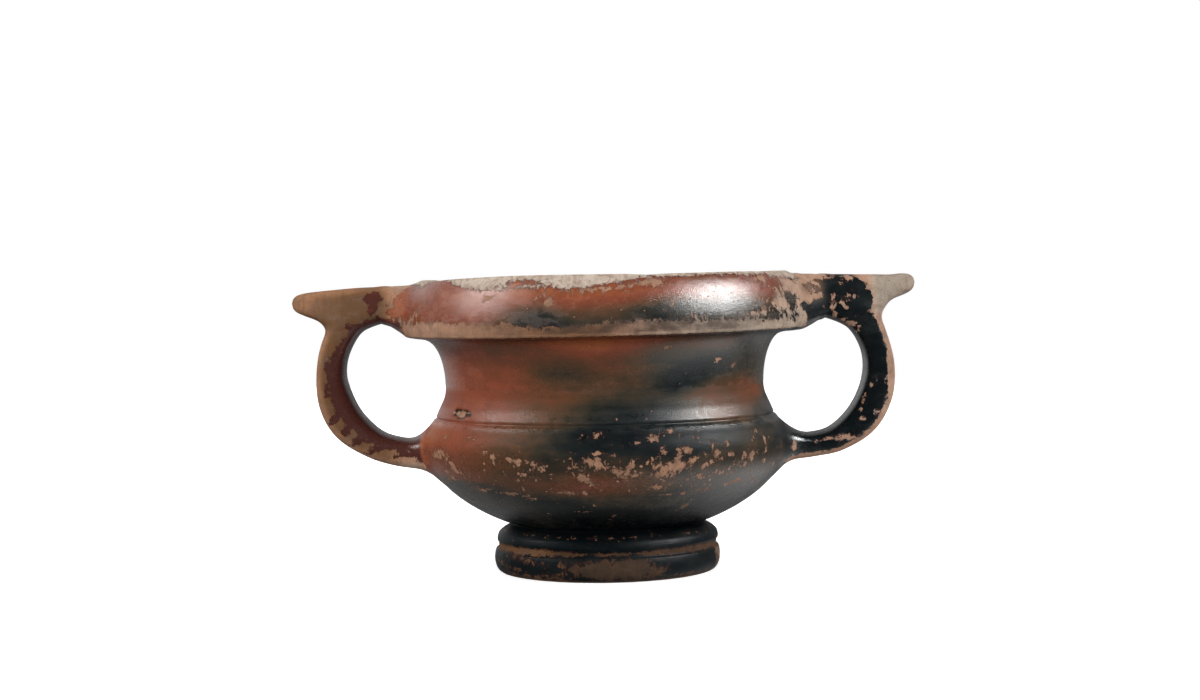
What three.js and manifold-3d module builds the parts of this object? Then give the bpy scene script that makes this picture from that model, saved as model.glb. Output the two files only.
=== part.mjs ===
// A low, two-handled drinking cup of thrown and glossed clay: a hollow bowl with a concave neck and a
// moulded rim, on a ring foot, with two vertical strap handles that each end in a spurred thumb rest.
// Millimetres, +Z up. The origin is on the table, under the middle of the foot.
import * as THREE from "three";
import { mergeVertices } from "three/addons/utils/BufferGeometryUtils.js";
import Module from "manifold-3d";

const wasm = await Module();
wasm.setup();

// Heights, stacked from the table up.
const FOOT_HEIGHT = 11.0; // table to the waist between foot and bowl
const BELLY_RISE = 18.5; // waist to the widest part of the bowl
const SHOULDER_RISE = 6.3; // widest part to the line cut round the shoulder
const NECK_RISE = 7.2; // cut line to the narrowest part of the neck
const FLARE_RISE = 12.2; // narrowest part to the lower edge of the rim
const RIM_RISE = 12.8; // lower edge of the rim to the crest of the lip

// Radii of the outside.
const FOOT_RADIUS = 26.1;
const WAIST_RADIUS = 22.1;
const BELLY_RADIUS = 42.1;
const SHOULDER_RADIUS = 39.4;
const NECK_RADIUS = 36.9;
const RIM_RADIUS = 46.6;
const LIP_RADIUS = 42.4;

// Walls and the hollow under the foot.
const WALL = 3.8;
const FLOOR = 4.9;
const REST_WIDTH = 4.0; // flat ring that the cup stands on
const REST_EDGE = 1.6; // rounding from that ring out to the side of the foot
const RECESS_DEPTH = 7.4;
const RECESS_SLOPE = 1.3; // fall of the underside from its middle to the foot's inner wall

// Mouldings and cut lines.
const FOOT_GROOVE_HEIGHT = 6.4;
const FOOT_GROOVE_DEPTH = 1.0;
const FOOT_GROOVE_WIDTH = 1.5;
const FOOT_LEDGE = 0.4; // how far the groove's two edges stand back from the foot's full radius
const SHOULDER_LINE_DEPTH = 0.3;
const SHOULDER_LINE_WIDTH = 0.7;
const RIM_OVERHANG = 3.4; // how far the rim's lower edge stands out past the flare
const RIM_BULGE = 0.6; // rim's widest part past its lower edge

// The strap of each handle, a loop from the belly up and over to the rim.
const STRAP_WIDTH = 12.5;
const STRAP_THICKNESS = 6.6;
const ROOT_THICKNESS = 5.9; // where the loop leaves the belly
const ELBOW_THICKNESS = 7.6; // at the loop's lower outer corner
const CROWN_THICKNESS = 9.9; // at the top of the loop
const BRIDGE_THICKNESS = 12.4; // where it meets the rim
const LOOP_CLEARANCE = 23.1; // narrowest part of the neck out to the inside of the loop
const LOOP_SIDE_RISE = 3.0; // narrowest part of the neck up to the loop's outermost point
const ROOT_DROP = 2.9; // widest part of the bowl down to where the loop leaves it
const ROOT_WIDTH = 17.5; // where the strap is pressed on to the belly
const BRIDGE_WIDTH = 23.0; // where it is pressed on to the rim
const CROWN_OFFSET = 4.6; // rim's widest part out to the top of the loop's opening

// The thumb rest, which carries the crown of the loop on outwards.
const THUMB_DROP = 0.9; // crest of the lip down to the top of the thumb rest
const THUMB_FALL = 0.9; // fall of its top from the rim to the tip
const SPUR_LENGTH = 5.4; // outside of the loop to the tip
const SPUR_TIP_THICKNESS = 4.0;
const SPUR_TIP_WIDTH = 7.5;
const SPUR_HOLLOW = 1.9; // 1 is a straight underside, and more is a hollower one
const SPUR_TIP_FLAT = 0.25; // share of the tip that stays flat past its rounding

// The pot is a little out of true: its rim rises this much for each millimetre towards +X.
const RIM_TILT = 0.0115;

const SEGMENTS = 60;
const SECTION_SIDES = 14;
const LOOP_STEPS = 27;
const SECTION_POWER = 2.5; // 2 is an ellipse, and more is squarer
const SLIVER = 0.02; // smallest detail kept where solids join

// Places that follow from the sizes above.
const bellyZ = FOOT_HEIGHT + BELLY_RISE;
const lineZ = bellyZ + SHOULDER_RISE;
const neckZ = lineZ + NECK_RISE;
const rimZ = neckZ + FLARE_RISE;
const lipZ = rimZ + RIM_RISE;
const floorZ = RECESS_DEPTH + FLOOR;
const thumbZ = lipZ - THUMB_DROP;
const loopRadius = NECK_RADIUS + LOOP_CLEARANCE + STRAP_THICKNESS / 2;
const loopOutside = loopRadius + STRAP_THICKNESS / 2;
const reach = loopOutside + SPUR_LENGTH;

const point = (r, z) => new THREE.Vector2(r, z);
const smooth = (t) => THREE.MathUtils.smoothstep(t, 0, 1);
const mix = THREE.MathUtils.lerp;

// Points along one smooth stretch, without its first point. How the curve leaves and arrives is given
// as shares of the stretch's own steps in radius and height.
function stretch(from, to, leave, arrive, count) {
  const step = to.clone().sub(from);
  const first = from.clone().add(step.clone().multiply(leave));
  const second = to.clone().sub(step.clone().multiply(arrive));
  return new THREE.CubicBezierCurve(from, first, second, to).getPoints(count).slice(1);
}

// The ring foot, from the middle of its underside out and up to the waist.
function footOutline() {
  const restOuter = FOOT_RADIUS - REST_EDGE;
  const restInner = restOuter - REST_WIDTH;
  const recessEdge = point(restInner - RECESS_SLOPE, RECESS_DEPTH - RECESS_SLOPE);
  const bulge = point(FOOT_RADIUS, FOOT_GROOVE_HEIGHT / 2);
  const ledge = FOOT_RADIUS - FOOT_LEDGE;
  const grooveLow = point(ledge, FOOT_GROOVE_HEIGHT - FOOT_GROOVE_WIDTH / 2);
  const grooveHigh = point(ledge, FOOT_GROOVE_HEIGHT + FOOT_GROOVE_WIDTH / 2);
  const waist = point(WAIST_RADIUS, FOOT_HEIGHT);
  return [
    point(0, RECESS_DEPTH),
    recessEdge,
    ...stretch(recessEdge, point(restInner, 0), point(0.6, 0.1), point(0, 0.3), 3),
    point(restOuter, 0),
    ...stretch(point(restOuter, 0), bulge, point(0.6, 0.03), point(0, 0.5), 3),
    ...stretch(bulge, grooveLow, point(0, 0.5), point(0.5, 0.2), 2),
    point(FOOT_RADIUS - FOOT_GROOVE_DEPTH, FOOT_GROOVE_HEIGHT),
    grooveHigh,
    ...stretch(grooveHigh, waist, point(-0.08, 0.42), point(0.4, 0.13), 4),
  ];
}

// The outside of the bowl, from the waist to the crest of the lip.
function bowlOutline() {
  const waist = point(WAIST_RADIUS, FOOT_HEIGHT);
  const belly = point(BELLY_RADIUS, bellyZ);
  const lineHalf = SHOULDER_LINE_WIDTH / 2;
  const belowLine = point(SHOULDER_RADIUS + SHOULDER_LINE_DEPTH, lineZ - lineHalf);
  const inLine = point(SHOULDER_RADIUS - SHOULDER_LINE_DEPTH, lineZ);
  const aboveLine = point(SHOULDER_RADIUS, lineZ + lineHalf);
  const neck = point(NECK_RADIUS, neckZ);
  const rimEdge = point(RIM_RADIUS - RIM_BULGE, rimZ);
  const flare = point(rimEdge.x - RIM_OVERHANG, rimZ - RIM_OVERHANG * 0.2);
  const lip = point(LIP_RADIUS, lipZ);
  return [
    ...stretch(waist, belly, point(0.54, 0.2), point(0, 0.41), 7),
    ...stretch(belly, belowLine, point(0, 0.42), point(0.5, 0.3), 3),
    inLine,
    aboveLine,
    ...stretch(aboveLine, neck, point(0.55, 0.23), point(0, 0.5), 3),
    ...stretch(neck, flare, point(0, 0.44), point(0.68, 0.05), 5),
    rimEdge,
    ...stretch(rimEdge, lip, point(-0.33, 0.32), point(0.88, 0.15), 5),
  ];
}

// The inside, from the crest of the lip down to the middle of the floor, this far in from the outside.
function hollowOutline(depth) {
  const lip = point(LIP_RADIUS, lipZ);
  const mouth = point(LIP_RADIUS - depth * 0.6, lipZ - depth * 0.8);
  const neck = point(NECK_RADIUS - depth, neckZ);
  const belly = point(BELLY_RADIUS - depth, bellyZ);
  const floor = point(0, mix(RECESS_DEPTH, floorZ, depth / WALL));
  return [
    ...stretch(lip, mouth, point(0.7, 0), point(0.05, 0.4), 2),
    ...stretch(mouth, neck, point(0.2, 0.36), point(0, 0.3), 4),
    ...stretch(neck, belly, point(0, 0.34), point(0, 0.37), 3),
    ...stretch(belly, floor, point(0, 0.6), point(0.44, 0), 6),
  ];
}

// A closed mesh as a solid. Shared corners are merged, and faces that shrink to a line are dropped.
function solidOf(geometry) {
  const bare = geometry.clone();
  bare.deleteAttribute("normal");
  bare.deleteAttribute("uv");
  const merged = mergeVertices(bare, 1e-4);
  const index = merged.index.array;
  const kept = [];
  for (let i = 0; i < index.length; i += 3) {
    const [a, b, c] = index.slice(i, i + 3);
    if (a !== b && b !== c && c !== a) kept.push(a, b, c);
  }
  const mesh = new wasm.Mesh({
    numProp: 3,
    vertProperties: merged.attributes.position.array,
    triVerts: new Uint32Array(kept),
  });
  return new wasm.Manifold(mesh);
}

// A solid of revolution about the cup's axis.
function turned(outline) {
  const lathe = new THREE.LatheGeometry(outline, SEGMENTS);
  lathe.rotateX(Math.PI / 2);
  return solidOf(lathe);
}

function thrownBody() {
  return turned([...footOutline(), ...bowlOutline(), ...hollowOutline(WALL)]);
}

// What the handles are trimmed with, so that they end in the middle of the wall.
function core() {
  const side = hollowOutline(WALL / 2).reverse();
  const mouth = side[side.length - 1];
  return turned([...side, point(mouth.x, lipZ + RIM_RISE), point(0, lipZ + RIM_RISE)]);
}

// A rounded strap section about its middle, with its half thickness and half width as vectors.
function section(middle, thick, wide) {
  const rounded = (t) => Math.sign(t) * Math.abs(t) ** (2 / SECTION_POWER);
  const ring = [];
  for (let i = 0; i < SECTION_SIDES; i += 1) {
    const angle = (2 * Math.PI * i) / SECTION_SIDES;
    const corner = middle.clone();
    corner.addScaledVector(wide, rounded(Math.cos(angle)));
    corner.addScaledVector(thick, rounded(Math.sin(angle)));
    ring.push(corner);
  }
  return ring;
}

// A skin over a row of sections, closed at both ends.
function loft(rings) {
  const sides = rings[0].length;
  const positions = rings.flat().flatMap((corner) => corner.toArray());
  const index = [];
  for (let k = 0; k + 1 < rings.length; k += 1) {
    for (let i = 0; i < sides; i += 1) {
      const a = k * sides + i;
      const b = k * sides + ((i + 1) % sides);
      index.push(a, b, a + sides, b, b + sides, a + sides);
    }
  }
  const last = (rings.length - 1) * sides;
  for (let i = 1; i + 1 < sides; i += 1) {
    index.push(0, i + 1, i, last, last + i, last + i + 1);
  }
  const geometry = new THREE.BufferGeometry();
  geometry.setAttribute("position", new THREE.Float32BufferAttribute(positions, 3));
  geometry.setIndex(index);
  return solidOf(geometry);
}

const across = (size) => new THREE.Vector3(0, size / 2, 0);

// The middle line of the loop, from inside the belly's wall out, up, and over to inside the rim's.
function loopPath() {
  const root = new THREE.Vector3(BELLY_RADIUS - WALL, 0, bellyZ - ROOT_DROP);
  const side = new THREE.Vector3(loopRadius, 0, neckZ + LOOP_SIDE_RISE);
  const crown = new THREE.Vector3(RIM_RADIUS + CROWN_OFFSET, 0, thumbZ - CROWN_THICKNESS / 2);
  const end = new THREE.Vector3(LIP_RADIUS - WALL / 2, 0, thumbZ - BRIDGE_THICKNESS / 2);
  const out = side.x - root.x;
  const up = side.z - root.z;
  const over = side.x - crown.x;
  const path = new THREE.CurvePath();
  path.add(
    new THREE.CubicBezierCurve3(
      root,
      new THREE.Vector3(root.x + out * 0.7, 0, root.z + up * 0.1),
      new THREE.Vector3(side.x, 0, side.z - up * 0.66),
      side,
    ),
  );
  path.add(
    new THREE.CubicBezierCurve3(
      side,
      new THREE.Vector3(side.x, 0, mix(side.z, crown.z, 0.35)),
      new THREE.Vector3(crown.x + over * 0.85, 0, crown.z),
      crown,
    ),
  );
  path.add(new THREE.LineCurve3(crown, end));
  return path;
}

// A size that eases from one station's value to the next.
function eased(stations, values, share) {
  const next = Math.max(1, stations.findIndex((station) => share <= station));
  const along = (share - stations[next - 1]) / (stations[next] - stations[next - 1]);
  return mix(values[next - 1], values[next], smooth(along));
}

function loop() {
  const path = loopPath();
  const lengths = path.getCurveLengths();
  const length = path.getLength();
  const side = lengths[0] / length;
  const crown = lengths[1] / length;
  const stations = [0, side * 0.6, side, crown, 1];
  const thicknesses = [ROOT_THICKNESS, ELBOW_THICKNESS, STRAP_THICKNESS, CROWN_THICKNESS, BRIDGE_THICKNESS];
  const widths = [ROOT_WIDTH, STRAP_WIDTH, STRAP_WIDTH, STRAP_WIDTH, BRIDGE_WIDTH];
  const rings = [];
  for (let k = 0; k <= LOOP_STEPS; k += 1) {
    const share = k / LOOP_STEPS;
    const tangent = path.getTangentAt(share);
    const thick = eased(stations, thicknesses, share);
    const inward = new THREE.Vector3(-tangent.z, 0, tangent.x).multiplyScalar(thick / 2);
    rings.push(section(path.getPointAt(share), inward, across(eased(stations, widths, share))));
  }
  return loft(rings);
}

// The thumb rest, from inside the crown of the loop out to its rounded tip.
function thumbRest() {
  const start = RIM_RADIUS + CROWN_OFFSET;
  const tipRound = SPUR_TIP_THICKNESS / 2;
  const topAt = (x) => thumbZ - THUMB_FALL * smooth((x - RIM_RADIUS) / (reach - RIM_RADIUS));
  const depthAt = (x) => {
    const share = Math.max(0, (x - loopOutside + STRAP_THICKNESS / 4) / (reach - loopOutside));
    return mix(SPUR_TIP_THICKNESS, CROWN_THICKNESS, Math.max(0, 1 - share) ** SPUR_HOLLOW);
  };
  const stations = [start, mix(start, loopRadius, 0.5), loopRadius];
  const spurStart = loopRadius + STRAP_THICKNESS / 4;
  for (let k = 0; k < 5; k += 1) stations.push(mix(spurStart, reach - tipRound, k / 5));
  for (let k = 0; k <= 4; k += 1) {
    stations.push(reach - tipRound * (1 - Math.sin((k * Math.PI) / 8)));
  }
  const rings = stations.map((x) => {
    const past = Math.max(0, (x - reach + tipRound) / tipRound);
    const closing = Math.max(SPUR_TIP_FLAT, Math.sqrt(1 - past * past)); // rounds the tip off
    const wide = mix(STRAP_WIDTH, SPUR_TIP_WIDTH, smooth((x - loopRadius) / (reach - loopRadius)));
    const middle = new THREE.Vector3(x, 0, topAt(x) - depthAt(x) / 2);
    const thick = new THREE.Vector3(0, 0, (depthAt(x) / 2) * closing);
    return section(middle, thick, across(wide * closing));
  });
  return loft(rings);
}

// Sinks the -X side of the rim and lifts the +X side, fading out downwards at the widest part.
function tilted(solid) {
  return solid.warp((corner) => {
    corner[2] += RIM_TILT * corner[0] * smooth((corner[2] - bellyZ) / (rimZ - bellyZ));
  });
}

function geometryOf(solid) {
  const mesh = solid.getMesh();
  const geometry = new THREE.BufferGeometry();
  geometry.setAttribute("position", new THREE.BufferAttribute(mesh.vertProperties, 3));
  geometry.setIndex(new THREE.BufferAttribute(mesh.triVerts, 1));
  geometry.computeVertexNormals();
  return geometry;
}

function kantharos() {
  const handle = loop().add(thumbRest()).subtract(core());
  const opposite = handle.rotate([0, 0, 180]);
  const cup = tilted(thrownBody().add(handle).add(opposite)).simplify(SLIVER);
  const gloss = new THREE.MeshStandardMaterial({ color: 0x4a2f25, roughness: 0.38, metalness: 0 });
  const mesh = new THREE.Mesh(geometryOf(cup), gloss);
  mesh.name = "kantharos";
  return mesh;
}

const group = new THREE.Group();
group.add(kantharos());
export default group;
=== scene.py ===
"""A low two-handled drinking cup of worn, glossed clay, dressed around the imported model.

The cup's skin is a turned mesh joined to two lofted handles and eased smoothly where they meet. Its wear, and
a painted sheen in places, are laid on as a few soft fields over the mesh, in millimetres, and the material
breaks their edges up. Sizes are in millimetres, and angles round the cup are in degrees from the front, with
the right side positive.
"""

import math

import bmesh
import bpy
import numpy as np
from mathutils import Matrix


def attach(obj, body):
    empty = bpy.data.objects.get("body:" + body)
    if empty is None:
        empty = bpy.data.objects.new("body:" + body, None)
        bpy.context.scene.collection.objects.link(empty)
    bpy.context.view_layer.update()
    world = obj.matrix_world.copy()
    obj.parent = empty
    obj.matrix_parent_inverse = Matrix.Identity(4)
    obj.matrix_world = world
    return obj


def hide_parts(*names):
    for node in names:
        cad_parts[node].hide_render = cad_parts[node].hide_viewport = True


MM = 0.001

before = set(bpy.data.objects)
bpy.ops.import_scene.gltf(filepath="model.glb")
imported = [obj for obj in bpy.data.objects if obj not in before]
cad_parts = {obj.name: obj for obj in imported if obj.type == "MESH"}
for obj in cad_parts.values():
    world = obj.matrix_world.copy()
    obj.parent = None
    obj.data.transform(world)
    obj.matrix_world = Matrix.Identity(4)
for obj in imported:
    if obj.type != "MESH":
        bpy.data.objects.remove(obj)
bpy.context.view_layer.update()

# Heights of the cup, from the table up.
WAIST_Z = 11.0
BELLY_Z = 29.5
GROOVE_Z = 35.8
NECK_Z = 43.0
RIM_Z = 55.2
LIP_Z = 68.0
FLOOR_Z = 12.3

# Radii of the outside.
FOOT_RADIUS = 26.1
WAIST_RADIUS = 21.6
BELLY_RADIUS = 41.9
SHOULDER_RADIUS = 39.3
NECK_RADIUS = 36.9
RIM_RADIUS = 46.3
LIP_RADIUS = 42.3

# Walls and the hollow under the foot.
WALL = 3.8
REST_WIDTH = 4.0
REST_EDGE = 1.75
RECESS_DEPTH = 7.4
RECESS_SLOPE = 1.3

# The rim rises this much for each millimetre towards +X, from the widest part of the bowl up.
RIM_TILT = 0.0115

# Each handle's loop as stations of (out, up, thickness, width) along its middle line, from the belly round
# and over to the rim, and its spur as (out, underside, top, width). Out is the distance from the cup's axis.
RIGHT_LOOP = [
    (36.5, 26.2, 6.8, 19.0),
    (42.0, 27.9, 6.6, 15.5),
    (48.0, 28.15, 5.5, 13.0),
    (53.7, 29.6, 6.0, 12.5),
    (59.35, 33.85, 7.5, 12.5),
    (62.6, 39.7, 7.6, 12.5),
    (63.5, 45.9, 6.8, 12.5),
    (62.3, 52.0, 6.5, 12.5),
    (59.0, 58.0, 7.8, 12.5),
    (52.8, 62.2, 9.4, 12.7),
    (49.2, 62.3, 10.6, 14.6),
    (45.6, 61.8, 12.2, 18.6),
    (41.5, 61.7, 12.0, 26.0),
]
RIGHT_SPUR = [
    (50.0, 58.5, 67.5, 13.0),
    (57.0, 57.0, 67.3, 12.6),
    (62.5, 57.0, 67.2, 11.6),
    (66.0, 60.9, 67.1, 10.4),
    (69.5, 62.5, 67.3, 9.0),
    (71.97, 63.8, 66.7, 7.6),
]
LEFT_LOOP = [
    (36.5, 26.0, 7.4, 19.0),
    (42.0, 27.2, 6.8, 15.5),
    (48.0, 28.0, 6.4, 13.0),
    (53.6, 29.95, 6.6, 12.5),
    (59.1, 34.2, 7.9, 12.5),
    (62.1, 39.6, 7.8, 12.5),
    (63.15, 46.0, 6.5, 12.5),
    (61.95, 52.4, 6.5, 12.5),
    (58.2, 58.7, 7.2, 12.5),
    (52.4, 61.9, 8.0, 12.7),
    (48.8, 61.75, 9.2, 14.6),
    (45.4, 61.25, 10.7, 18.6),
    (41.5, 61.1, 11.0, 26.0),
]
LEFT_SPUR = [
    (50.0, 58.8, 66.2, 13.0),
    (57.0, 57.0, 66.0, 12.6),
    (62.5, 56.4, 65.6, 11.6),
    (66.0, 58.5, 65.3, 10.4),
    (69.2, 59.8, 64.9, 9.0),
    (71.95, 61.1, 64.0, 7.6),
]
SECTION_POWER = 3.6  # 2 is an ellipse, and more is squarer

# How far the joins are eased, as the reach of the blend between the surfaces at each height.
JOIN_EASE = [(24, 3.0), (31, 5.5), (44, 5.5), (54, 3.0), (59, 6.5), (62.5, 6.0), (66, 2.4), (68, 1.4)]
JOIN_REACH = max(reach for _, reach in JOIN_EASE)
SPUR_EASE = 2.6
SPUR_TOP_EASE = 0.3

COLUMNS = 360
SECTION_SIDES = 40
LOOP_STEPS = 120
SPUR_STEPS = 44


def ease(value, start=0.0, end=1.0):
    """0 before start, 1 after end, and smooth between them."""
    t = np.clip((np.asarray(value, float) - start) / (end - start), 0, 1)
    return t * t * (3 - 2 * t)


def read_off(value, stations):
    """The value that goes with a place, between the two nearest stations of (place, value)."""
    return np.interp(value, *zip(*stations))


def stretch(start, end, leave, arrive, count):
    """Points along one smooth stretch, without its first point.

    How the curve leaves and arrives is given as shares of the stretch's own steps in radius and height.
    """
    start, end = np.array(start, float), np.array(end, float)
    first = start + (end - start) * leave
    second = end - (end - start) * arrive
    t = np.linspace(0, 1, count + 1)[1:, None]
    curve = (1 - t) ** 3 * start + 3 * (1 - t) ** 2 * t * first
    return curve + 3 * (1 - t) * t**2 * second + t**3 * end


def foot_outline():
    """The ring foot's section, from the middle of its underside out and up to the waist."""
    rest_outer = FOOT_RADIUS - REST_EDGE
    rest_inner = rest_outer - REST_WIDTH
    recess_edge = (rest_inner - RECESS_SLOPE, RECESS_DEPTH - RECESS_SLOPE)
    bulge = (FOOT_RADIUS, 3.2)
    band_low = (FOOT_RADIUS - 0.35, 5.35)
    band_foot = (FOOT_RADIUS - 0.95, 5.75)
    band_head = (FOOT_RADIUS - 0.85, 7.0)
    band_high = (FOOT_RADIUS - 0.55, 7.3)
    waist = (WAIST_RADIUS, WAIST_Z)
    return [
        [(0, RECESS_DEPTH)],
        stretch((0, RECESS_DEPTH), recess_edge, (0.3, 0), (0.3, 0.5), 14),
        stretch(recess_edge, (rest_inner, 0), (0.6, 0.1), (0, 0.3), 8),
        stretch((rest_inner, 0), (rest_outer, 0), (0.3, 0), (0.3, 0), 5),
        stretch((rest_outer, 0), bulge, (0.6, 0.03), (0, 0.5), 8),
        stretch(bulge, band_low, (0, 0.5), (0.5, 0.2), 5),
        stretch(band_low, band_foot, (0.5, 0.1), (0.1, 0.5), 2),
        stretch(band_foot, band_head, (-0.3, 0.3), (0.3, 0.3), 4),
        stretch(band_head, band_high, (0.3, 0.3), (0.1, 0.5), 2),
        stretch(band_high, (FOOT_RADIUS - 0.8, 8.9), (-0.5, 0.4), (0.4, 0.3), 4),
        stretch((FOOT_RADIUS - 0.8, 8.9), waist, (0.15, 0.42), (0.35, 0.1), 8),
    ]


def bowl_outline():
    """The bowl's outside, from the waist to the crest of the lip."""
    waist = (WAIST_RADIUS, WAIST_Z)
    belly = (BELLY_RADIUS, BELLY_Z)
    below_groove = (SHOULDER_RADIUS + 0.35, GROOVE_Z - 0.4)
    groove = (SHOULDER_RADIUS - 0.35, GROOVE_Z)
    above_groove = (SHOULDER_RADIUS - 0.15, GROOVE_Z + 0.35)
    roll = (NECK_RADIUS + 0.76, NECK_Z - 3.5)
    neck = (NECK_RADIUS, NECK_Z)
    flare = (RIM_RADIUS - 4.3, RIM_Z - 0.75)
    rim_edge = (RIM_RADIUS - 0.7, RIM_Z)
    lip = (LIP_RADIUS, LIP_Z)
    return [
        stretch(waist, belly, (0.54, 0.2), (0, 0.41), 36),
        stretch(belly, below_groove, (0, 0.42), (0.5, 0.3), 12),
        stretch(below_groove, groove, (0.5, 0.2), (0.5, 0.2), 2),
        stretch(groove, above_groove, (0.2, 0.5), (0.5, 0.2), 2),
        stretch(above_groove, roll, (0.28, 0.33), (0.36, 0.33), 7),
        stretch(roll, neck, (0.66, 0.3), (0, 0.4), 9),
        stretch(neck, flare, (0, 0.44), (0.68, 0.05), 20),
        stretch(flare, rim_edge, (0.35, 0.1), (0.25, 0.4), 5),
        stretch(rim_edge, lip, (-0.3, 0.22), (0.74, 0.15), 26),
    ]


def hollow_outline():
    """The inside, from the crest of the lip down to the middle of the floor."""
    lip = (LIP_RADIUS, LIP_Z)
    mouth = (LIP_RADIUS - WALL * 0.6, LIP_Z - WALL * 0.8)
    neck = (NECK_RADIUS - WALL, NECK_Z)
    belly = (BELLY_RADIUS - WALL, BELLY_Z)
    return [
        stretch(lip, mouth, (0.7, 0), (0.05, 0.4), 6),
        stretch(mouth, neck, (0.2, 0.36), (0, 0.3), 18),
        stretch(neck, belly, (0, 0.34), (0, 0.37), 12),
        stretch(belly, (0, FLOOR_Z), (0, 0.6), (0.44, 0), 26),
    ]


FOOT = np.vstack(foot_outline())
BOWL = np.vstack(bowl_outline())
HOLLOW = np.vstack(hollow_outline())
OUTLINE = np.vstack([FOOT, BOWL, HOLLOW])
NEAR_HANDLES = slice(len(FOOT), len(FOOT) + len(BOWL) + 6)
LIP_PLACE = len(FOOT) + len(BOWL) + 3


def tilt(x, z):
    """How far the leaning rim lifts a point."""
    return RIM_TILT * x * ease(z, BELLY_Z, RIM_Z)


def ring_faces(rings, sides):
    """The quads between rings of points that follow each other."""
    faces = []
    for k in range(rings - 1):
        for i in range(sides):
            a = k * sides + i
            b = k * sides + (i + 1) % sides
            faces.append((a, b, b + sides, a + sides))
    return faces


def turned_mesh():
    """The thrown body as points and faces: one ring for each point of its outline, closed at the axis."""
    angles = np.linspace(0, 2 * np.pi, COLUMNS, endpoint=False) - np.pi / 2
    rings = OUTLINE[1:-1]
    x = rings[:, :1] * np.cos(angles)
    y = rings[:, :1] * np.sin(angles)
    z = np.repeat(rings[:, 1:], COLUMNS, 1)
    points = np.stack([x, y, z + tilt(x, z)], -1).reshape(-1, 3)
    ends = np.array([[0, 0, OUTLINE[0, 1]], [0, 0, OUTLINE[-1, 1]]])
    faces = ring_faces(len(rings), COLUMNS)
    under = len(points)
    last = (len(rings) - 1) * COLUMNS
    for i in range(COLUMNS):
        after = (i + 1) % COLUMNS
        faces.append((under, after, i))
        faces.append((under + 1, last + i, last + after))
    return np.vstack([points, ends]), faces


def resampled(stations, count):
    """A smooth curve through the stations, as evenly spaced samples of all their values."""
    stations = np.array(stations, float)
    before = 2 * stations[0] - stations[1]
    after = 2 * stations[-1] - stations[-2]
    padded = np.vstack([before, stations, after])
    t = np.linspace(0, 1, 24, endpoint=False)[:, None]
    pieces = []
    for a, b, c, d in zip(padded, padded[1:], padded[2:], padded[3:]):
        pieces.append(b + 0.5 * t * (c - a + t * (2 * a - 5 * b + 4 * c - d + t * (3 * (b - c) + d - a))))
    curve = np.vstack([*pieces, stations[-1:]])
    steps = np.hypot(*np.diff(curve[:, :2], axis=0).T)
    length = np.concatenate([[0], np.cumsum(steps)])
    even = np.linspace(0, length[-1], count + 1)
    return np.stack([np.interp(even, length, column) for column in curve.T], 1)


def section_corners(sides):
    """The rounded strap section as shares of its half width and half thickness."""
    angles = np.linspace(0, 2 * np.pi, sides, endpoint=False)

    def rounded(share):
        return np.sign(share) * np.abs(share) ** (2 / SECTION_POWER)

    return rounded(np.cos(angles)), rounded(np.sin(angles))


def nearest_on(line, flat):
    """The nearest stretch of a line, the share along it, and the steps from there and from its start."""
    start, step = line[:-1], np.diff(line, axis=0)
    offset = flat[:, None] - start
    share = np.clip((offset * step).sum(2) / (step**2).sum(1), 0, 1)
    away = offset - share[..., None] * step
    nearest = (away**2).sum(2).argmin(1)
    rows = np.arange(len(flat))
    return nearest, share[rows, nearest], away[rows, nearest], offset[rows, nearest]


class Loop:
    """A strap bent along a curve in the plane of the handles. side is 1 on the right and -1 on the left."""

    def __init__(self, stations, side):
        samples = resampled(stations, LOOP_STEPS)
        self.middle = samples[:, :2] * (side, 1)
        self.thick = samples[:, 2] / 2
        self.wide = samples[:, 3] / 2
        along = np.gradient(self.middle, axis=0)
        along /= np.hypot(*along.T)[:, None]
        self.normal = np.stack([-along[:, 1], along[:, 0]], 1)

    def mesh(self):
        """Rings of the rounded section, from the belly to the rim."""
        wide, thick = section_corners(SECTION_SIDES)
        rings = []
        for middle, normal, half_thick, half_wide in zip(self.middle, self.normal, self.thick, self.wide):
            reach = thick[:, None] * half_thick * normal
            rings.append(np.stack([middle[0] + reach[:, 0], wide * half_wide, middle[1] + reach[:, 1]], 1))
        return loft(rings)

    def nearest(self, points):
        """The nearest place along the strap, how far the point is from it, and on which side."""
        nearest, share, away, offset = nearest_on(self.middle, points[:, [0, 2]])
        toward = (offset * self.normal[nearest]).sum(1)
        return nearest + share, np.hypot(*away.T), toward

    def distance(self, points):
        """About how far each point is outside the strap."""
        place, gap, _ = self.nearest(points)
        index = np.arange(len(self.thick))
        thick = np.interp(place, index, self.thick)
        wide = np.interp(place, index, self.wide)
        return section_distance(gap, points[:, 1], thick, wide)

    def outer_share(self, points, side):
        """From -1 on the strap's face inside the loop to 1 on its outer face."""
        place, _, toward = self.nearest(points)
        return -side * toward / np.interp(place, np.arange(len(self.thick)), self.thick)


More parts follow.
